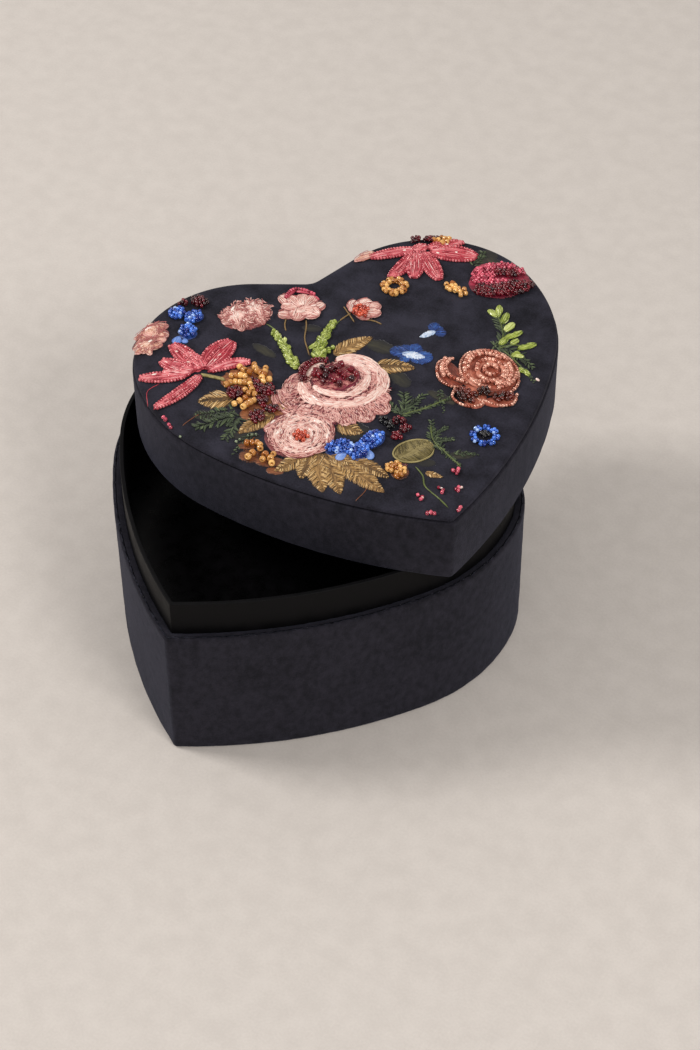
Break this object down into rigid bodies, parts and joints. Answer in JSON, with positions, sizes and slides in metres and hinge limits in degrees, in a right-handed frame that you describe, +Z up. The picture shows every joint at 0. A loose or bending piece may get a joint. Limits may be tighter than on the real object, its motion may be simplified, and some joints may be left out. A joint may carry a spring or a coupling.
{
  "type": "wind-up music box",
  "caption": "Heart-shaped fabric-covered box with a loose embroidered lid, a shallow tray and a key-wound musical movement under the floor.",
  "frame": {"origin": "on the ground under the middle of the heart's length, on its line of symmetry", "axes": "+Z up, -Y towards the base heart's tip, +X to the right seen from the tip"},
  "size_m": [0.15, 0.1896, 0.097],
  "materials": {
    "navy_suede": "napped suede",
    "embroidered_velvet": "printed velvet with embroidery and beads",
    "greyboard": "pressed paper board",
    "black_paper": "satin black paper",
    "wadding": "soft wadding",
    "zinc_casting": "cast, matt",
    "plated_steel": "bright nickel plate",
    "spring_steel": "ground steel",
    "brass": "turned brass",
    "lead": "cast lead",
    "moulded_nylon": "moulded, satin"
  },
  "bodies": {
    "base": {"base_wall_fabric": "navy_suede", "base_wall_board": "greyboard", "bottom_board": "greyboard", "bottom_paper": "black_paper", "neck_board": "greyboard", "neck_paper": "black_paper", "floor_riser": "greyboard", "floor_board": "greyboard", "floor_paper": "black_paper", "bedplate": "zinc_casting", "mounting_screws": "plated_steel", "mounting_washers": "plated_steel", "spring_housing": "plated_steel", "housing_rivets": "plated_steel", "mainspring": "spring_steel", "cylinder_bracket": "plated_steel", "bracket_screws": "plated_steel", "comb": "spring_steel", "comb_weights": "lead", "comb_screws": "plated_steel", "governor_bracket": "plated_steel", "governor_screws": "plated_steel"},
    "drive": {"drive_gear": "brass", "clutch_spring": "plated_steel"},
    "winding": {"winding_arbor": "plated_steel", "arbor_clip": "plated_steel", "winding_key": "plated_steel"},
    "cylinder": {"music_cylinder": "brass", "cylinder_caps": "brass", "cylinder_axle": "plated_steel", "cylinder_pinion": "brass", "cylinder_gear": "brass"},
    "governor": {"governor_axle": "plated_steel", "governor_pinion": "brass", "worm_wheel": "brass"},
    "fly": {"worm_spindle": "plated_steel", "fly": "moulded_nylon"},
    "lid": {"lid_rim_board": "greyboard", "lid_rim_fabric": "navy_suede", "lid_deck_board": "greyboard", "lid_lining": "black_paper", "lid_pad_board": "greyboard", "lid_wadding": "wadding", "lid_top_fabric": "embroidered_velvet"}
  },
  "joints": [
    {"name": "cylinder_turn", "type": "hinge", "parent": "base", "child": "cylinder", "pos_m": [0.0021, 0.008, 0.0291], "axis": [1, 0, 0], "continuous": true},
    {"name": "drive_gear_turn", "type": "hinge", "parent": "base", "child": "drive", "pos_m": [-0.012, 0.008, 0.024], "axis": [0, 0, 1], "continuous": true},
    {"name": "key_wind", "type": "hinge", "parent": "drive", "child": "winding", "pos_m": [-0.012, 0.008, 0.014], "axis": [0, 0, -1], "range_deg": [0, 1440]},
    {"name": "governor_turn", "type": "hinge", "parent": "base", "child": "governor", "pos_m": [0.0217, 0, 0.02498], "axis": [1, 0, 0], "continuous": true},
    {"name": "fly_turn", "type": "hinge", "parent": "base", "child": "fly", "pos_m": [0.024, -0.0063, 0.02498], "axis": [0, 0, 1], "continuous": true},
    {"name": "lid_lift", "type": "slide", "parent": "base", "child": "lid", "axis": [0, 0, 1], "range_m": [0, 0.12]}
  ],
  "couplings": [
    {"joint": "drive_gear_turn", "follows": "cylinder_turn", "ratio": 0.28571},
    {"joint": "governor_turn", "follows": "cylinder_turn", "ratio": -4},
    {"joint": "fly_turn", "follows": "cylinder_turn", "ratio": -48}
  ]
}
